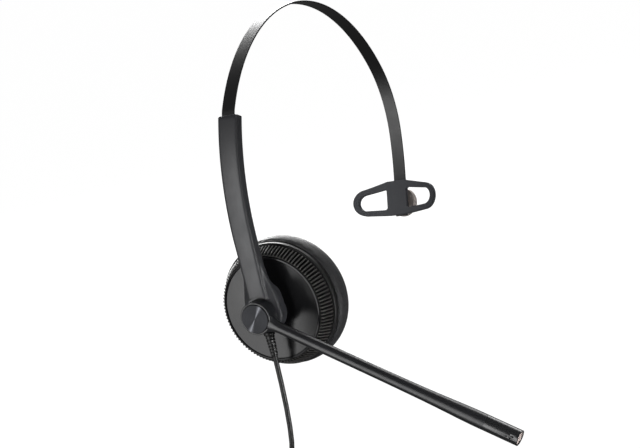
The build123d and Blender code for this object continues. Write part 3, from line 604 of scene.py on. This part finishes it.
def smooth_walk(points, rows):
    """Even points along a smooth line through the given ones."""
    dense = []
    last = len(points) - 1
    for i in range(last):
        p0, p1, p2, p3 = (points[max(0, min(last, i + k))] for k in (-1, 0, 1, 2))
        for step in range(12):
            t = step / 12
            dense.append(tuple(
                0.5 * (2 * b + (c - a) * t + (2 * a - 5 * b + 4 * c - d) * t * t
                       + (3 * b - a - 3 * c + d) * t ** 3)
                for a, b, c, d in zip(p0, p1, p2, p3)
            ))
    dense.append(points[-1])
    lengths = [0.0]
    for a, b in zip(dense, dense[1:]):
        lengths.append(lengths[-1] + hypot(b[0] - a[0], b[1] - a[1]))
    out, at = [], 0
    for row in range(rows):
        want = lengths[-1] * row / (rows - 1)
        while at < len(lengths) - 2 and lengths[at + 1] < want:
            at += 1
        part = (want - lengths[at]) / max(1e-12, lengths[at + 1] - lengths[at])
        out.append(tuple(a + (b - a) * part for a, b in zip(dense[at], dense[at + 1])))
    return out


def inflate(mesh, rest, is_held):
    """Blows the skin up with cloth pressure, seams and back held, and keeps each move under the cap."""
    work = loose("work", mesh.copy())
    work.data.transform(Matrix.Scale(CLOTH_SCALE, 4))
    held = work.vertex_groups.new(name="held")
    held.add([v.index for v in work.data.vertices if is_held(v.index)], 1.0, "REPLACE")
    cloth = work.modifiers.new("cloth", "CLOTH")
    settings = cloth.settings
    settings.quality = 7
    settings.mass = 0.25
    settings.tension_stiffness = settings.compression_stiffness = 18
    settings.shear_stiffness = 8
    settings.bending_stiffness = 0.4
    settings.shrink_min = -0.045
    settings.use_pressure = True
    settings.uniform_pressure_force = 4.0
    settings.vertex_group_mass = "held"
    settings.effector_weights.gravity = 0.0
    cloth.collision_settings.use_self_collision = False
    cloth.point_cache.frame_start, cloth.point_cache.frame_end = 1, 20
    for frame_number in range(1, 21):
        scene.frame_set(frame_number)
        bpy.context.view_layer.update()
    result = work.evaluated_get(bpy.context.evaluated_depsgraph_get())
    blown = result.to_mesh()
    for vertex, after in zip(mesh.vertices, blown.vertices):
        here = rest[vertex.index]
        move = after.co / CLOTH_SCALE - here
        if move.length > CUSHION_CAP:
            move *= CUSHION_CAP / move.length
        vertex.co = here + move
    result.to_mesh_clear()
    scene.frame_set(1)
    bpy.data.objects.remove(work)


cushion_rows = smooth_walk(CUSHION_WALK, 40)
# the back, towards the cup
back_rows = [(0.0063, 0.0146), (0.0062, 0.0170), (0.0062, 0.0215), (0.0062, 0.0262), (0.0062, 0.0292),
             (0.0050, 0.0299), (0.0026, 0.02995), (0.0014, 0.0300)]
cushion_profile = [(CUP_X + x, r) for x, r in cushion_rows + back_rows]


def held_row(index):
    """Whether a point of the cushion is at a seam or on its back."""
    row = index % len(cushion_profile)
    return row < 2 or row >= len(cushion_rows) - 1


cushion_mesh = turned_mesh("ear_pad", cushion_profile, CUSHION_STEPS)
cushion_rest = [v.co.copy() for v in cushion_mesh.vertices]
for vertex in cushion_mesh.vertices:
    row = vertex.index % len(cushion_profile)
    if 3 <= row < len(cushion_rows) - 2:
        p = vertex.co
        out = Vector((0, p.y, p.z)).normalized()
        vertex.co = p + out * UNEVEN * noise.noise(p * 420.0)
pad = loose("ear_pad", cushion_mesh)
inflate(cushion_mesh, cushion_rest, held_row)
cushion_mesh.materials.append(MATERIALS["leatherette"])
cushion_mesh.shade_smooth()
finer = pad.modifiers.new("finer", "SUBSURF")
finer.levels = finer.render_levels = 1
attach(pad, "ear_cup")
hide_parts("ear_cushion")


def seam_ring(name, x, radius, thick, stitches):
    """A welt about the ear cup's axis with stitch dimples pressed into it."""
    verts = []
    around, section = stitches * 6, 10
    for i in range(around):
        a = 2 * pi * i / around
        press = thick * (1 - 0.35 * max(0.0, cos(2 * pi * i / 6)) ** 3)
        for j in range(section):
            b = 2 * pi * j / section
            r = radius + press * cos(b)
            verts.append((x + press * sin(b), r * cos(a), r * sin(a)))
    mesh = mesh_from(name, verts, grid_faces(around, section, close_rows=True, close_across=True))
    mesh.shade_smooth()
    return piece(name, mesh, "leatherette", "ear_cup")


seam_ring("pad_seam_outer", CUP_X + 0.0021, 0.03042, 0.0003, 110)
seam_ring("pad_seam_inner", CUP_X + 0.0078, 0.01428, 0.0003, 60)

# ---------------------------------------------------------------- strain relief and boom root
boot_low, boot_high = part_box("strain_relief")
boot_x = (boot_low.x + boot_high.x) / 2
BOOT_STEPS = 48
BOOT_RINGS = 6
AXIS_R = 0.00001  # least radius: a pinhole at each end instead of a degenerate ring
# radius and height below the top: the collar, the ringed body, then the end
boot_profile = [
    (0.0, 0.0), (0.0026, 0.0), (0.00275, -0.0002), (0.00275, -0.0015), (0.0026, -0.0017), (0.0021, -0.0018),
]
for i in range(BOOT_RINGS):
    z = -0.0023 - 0.00158 * i
    r = 0.00222 - 0.00042 * i / (BOOT_RINGS - 1)
    boot_profile += [(r, z), (r, z - 0.0009), (r - 0.0005, z - 0.00102), (r - 0.0005, z - 0.0014)]
boot_profile += [(0.00172, -0.0118), (0.0016, -0.0123), (0.0, -0.01245)]
boot_verts = []
for i in range(BOOT_STEPS):
    a = 2 * pi * i / BOOT_STEPS
    boot_verts += [(boot_x + max(r, AXIS_R) * cos(a), max(r, AXIS_R) * sin(a), boot_high.z + z)
                   for r, z in boot_profile]
boot_faces = grid_faces(BOOT_STEPS, len(boot_profile), close_rows=True)
boot_mesh = mesh_from("cord_boot", boot_verts, boot_faces)
boot_mesh.shade_smooth()
boot_mesh.set_sharp_from_angle(angle=radians(50))
piece("cord_boot", boot_mesh, "cord_jacket", "arm", ("strain_relief",))

BOOM_AT = Vector((-0.0888, 0, 0))  # where the boom's line crosses the hub's axis
BOOM_DIR = Vector((0, -cos(radians(30)), -sin(radians(30))))
BOOM_SIDE = Vector((0, -sin(radians(30)), cos(radians(30))))
BOOM_R = 0.00262
ROOT_STEPS = 48
root_verts = []
# distance along the boom and half width there
root_rows = [(0.0070, 0.0046), (0.0078, 0.0040), (0.0086, 0.00356), (0.0095, 0.00322), (0.0105, 0.00296),
             (0.0117, 0.00276), (0.0130, 0.00264), (0.0136, 0.00261)]
for s_at, wide in root_rows:
    for i in range(ROOT_STEPS):
        a = 2 * pi * i / ROOT_STEPS
        p = BOOM_AT + BOOM_DIR * s_at + Vector((-BOOM_R * cos(a), 0, 0)) + BOOM_SIDE * wide * sin(a)
        root_verts.append(p)
root_faces = grid_faces(len(root_rows), ROOT_STEPS, close_across=True)
root_mesh = mesh_from("boom_root", root_verts, root_faces)
root_mesh.shade_smooth()
piece("boom_root", root_mesh, "boom_plastic", "boom")

# ---------------------------------------------------------------- cord
CORD_D = 0.0025
LEAD = [(-0.0821, 0, -0.0215), (-0.0821, 0, -0.067), (-0.0821, 0.010873, -0.079924)]
TAIL = [(-0.0771, 0.01625, -0.092), (-0.0771, 0.01625, -0.108), (-0.0771, 0.01325, -0.126)]
COIL_AT = (-0.0796, -0.092)  # X and Z of its middle
ROWS = {"outer": 0.01625, "middle": 0.01375, "inner": 0.01125}
COLUMNS = (-0.0821, -0.0796, -0.0771)
TURNS = [("outer", 0), ("outer", 1), ("middle", 1), ("middle", 0), ("inner", 0), ("inner", 1), ("inner", 2),
         ("middle", 2), ("outer", 2)]
ENTRY = radians(42.0)  # from the coil's top towards +Y
PER_TURN = 16
COIL_SWELL = 1.012  # the curve runs inside its points, so they stand a little further out

coil_points = []
steps = PER_TURN * len(TURNS) + round((pi / 2 - ENTRY) / (2 * pi) * PER_TURN)
for step in range(1, steps):
    turn, part = divmod(step, PER_TURN)
    row, column = TURNS[min(turn, len(TURNS) - 1)]
    next_row, next_column = TURNS[min(turn + 1, len(TURNS) - 1)]
    # each turn moves over to the next one's place in its last fifth
    shift = max(0.0, (part / PER_TURN - 0.8) / 0.2)
    radius = ROWS[row] + (ROWS[next_row] - ROWS[row]) * shift
    x = COLUMNS[column] + (COLUMNS[next_column] - COLUMNS[column]) * shift
    angle = ENTRY + 2 * pi * step / PER_TURN
    radius *= COIL_SWELL
    coil_points.append((x, radius * sin(angle), COIL_AT[1] + radius * cos(angle)))
cord_points = LEAD + coil_points + TAIL

cord_data = bpy.data.curves.new("cord_line", "CURVE")
cord_data.dimensions = "3D"
spline = cord_data.splines.new("NURBS")
spline.points.add(len(cord_points) - 1)
for point, place in zip(spline.points, cord_points):
    point.co = (*place, 1)
spline.order_u = 3
spline.use_endpoint_u = True
cord_data.resolution_u = 6
cord_data.bevel_depth = CORD_D / 2
cord_data.bevel_resolution = 5
cord_data.use_fill_caps = True
cord = bpy.data.objects.new("headset_cord", cord_data)
scene.collection.objects.link(cord)
cord_data.materials.append(MATERIALS["cord_jacket"])
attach(cord, "arm")
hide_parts("cord_lead", "cord_coil", "cord_tail")

# ---------------------------------------------------------------- light and floor
def plain(name, colour, glow):
    """Flat paper with its own glow."""
    material = bpy.data.materials.new(name)
    material.use_nodes = True
    shader = material.node_tree.nodes["Principled BSDF"]
    shader.inputs["Base Color"].default_value = (*colour, 1)
    shader.inputs["Roughness"].default_value = 0.9
    shader.inputs["Specular IOR Level"].default_value = 0.0
    shader.inputs["Emission Color"].default_value = (1, 1, 1, 1)
    shader.inputs["Emission Strength"].default_value = glow
    return material


def backdrop(name, mesh, material):
    """Floor or wall that the camera sees, but that no surface reflects or is lit by."""
    obj = loose(name, mesh)
    mesh.materials.append(material)
    obj.visible_glossy = False
    obj.visible_diffuse = False
    obj.visible_transmission = False
    return obj


FLOOR_Z = -0.19
FLOOR_R = 14.0
WALL_R = 13.5
floor_mesh = bpy.data.meshes.new("floor")
bm = bmesh.new()
bmesh.ops.create_circle(bm, cap_ends=True, segments=96, radius=FLOOR_R)
bm.transform(Matrix.Translation((0, 0, FLOOR_Z)))
bm.to_mesh(floor_mesh)
bm.free()
backdrop("floor", floor_mesh, plain("floor_paper", (0.05, 0.05, 0.05), 0.99))
wall_mesh = bpy.data.meshes.new("wall")
bm = bmesh.new()
bmesh.ops.create_uvsphere(bm, u_segments=48, v_segments=24, radius=WALL_R)
bmesh.ops.reverse_faces(bm, faces=bm.faces)
bm.to_mesh(wall_mesh)
bm.free()
wall = backdrop("wall", wall_mesh, plain("wall_paper", (0, 0, 0), 1.0))
wall.visible_shadow = False

world = bpy.data.worlds.new("studio")
scene.world = world
world.use_nodes = True
world.node_tree.nodes["Background"].inputs["Color"].default_value = (1, 1, 1, 1)
world.node_tree.nodes["Background"].inputs["Strength"].default_value = 0.10

HEADSET_AT = (0, 0, 0.02)
MIC_AT = (-0.088, -0.122, -0.071)


def softbox(name, direction, distance, size, power, spread=180.0, target=HEADSET_AT):
    """Rectangular light that faces its target from a direction."""
    data = bpy.data.lights.new(name, "AREA")
    data.shape = "RECTANGLE"
    data.size, data.size_y = size
    data.energy = power
    data.spread = radians(spread)
    obj = bpy.data.objects.new(name, data)
    scene.collection.objects.link(obj)
    aim = Vector(direction).normalized()
    turned = aim.to_track_quat("Z", "Y").to_matrix().to_4x4()
    obj.matrix_world = Matrix.Translation(Vector(target) + aim * distance) @ turned
    obj.visible_camera = False


softbox("side_light", (-0.90, 0.37, 0.0), 1.7, (0.9, 1.4), 15.0)
softbox("low_light", (-0.76, 0.54, -0.38), 1.7, (0.7, 0.7), 2.4)
softbox("high_light", (0.80, 0.50, 0.33), 1.6, (0.8, 0.9), 36.0)
softbox("upper_light", (0.47, 0.50, 0.73), 1.6, (0.8, 0.6), 2.5)
softbox("right_light", (0.68, -0.15, 0.72), 1.6, (0.4, 1.0), 7.0)
softbox("front_fill", (-0.5, -0.86, 0.3), 2.2, (1.2, 1.2), 4.0)
# a small lamp aimed at the microphone
softbox("mic_kicker", (-0.25, -0.93, -0.25), 0.35, (0.08, 0.08), 0.08, 40.0, MIC_AT)
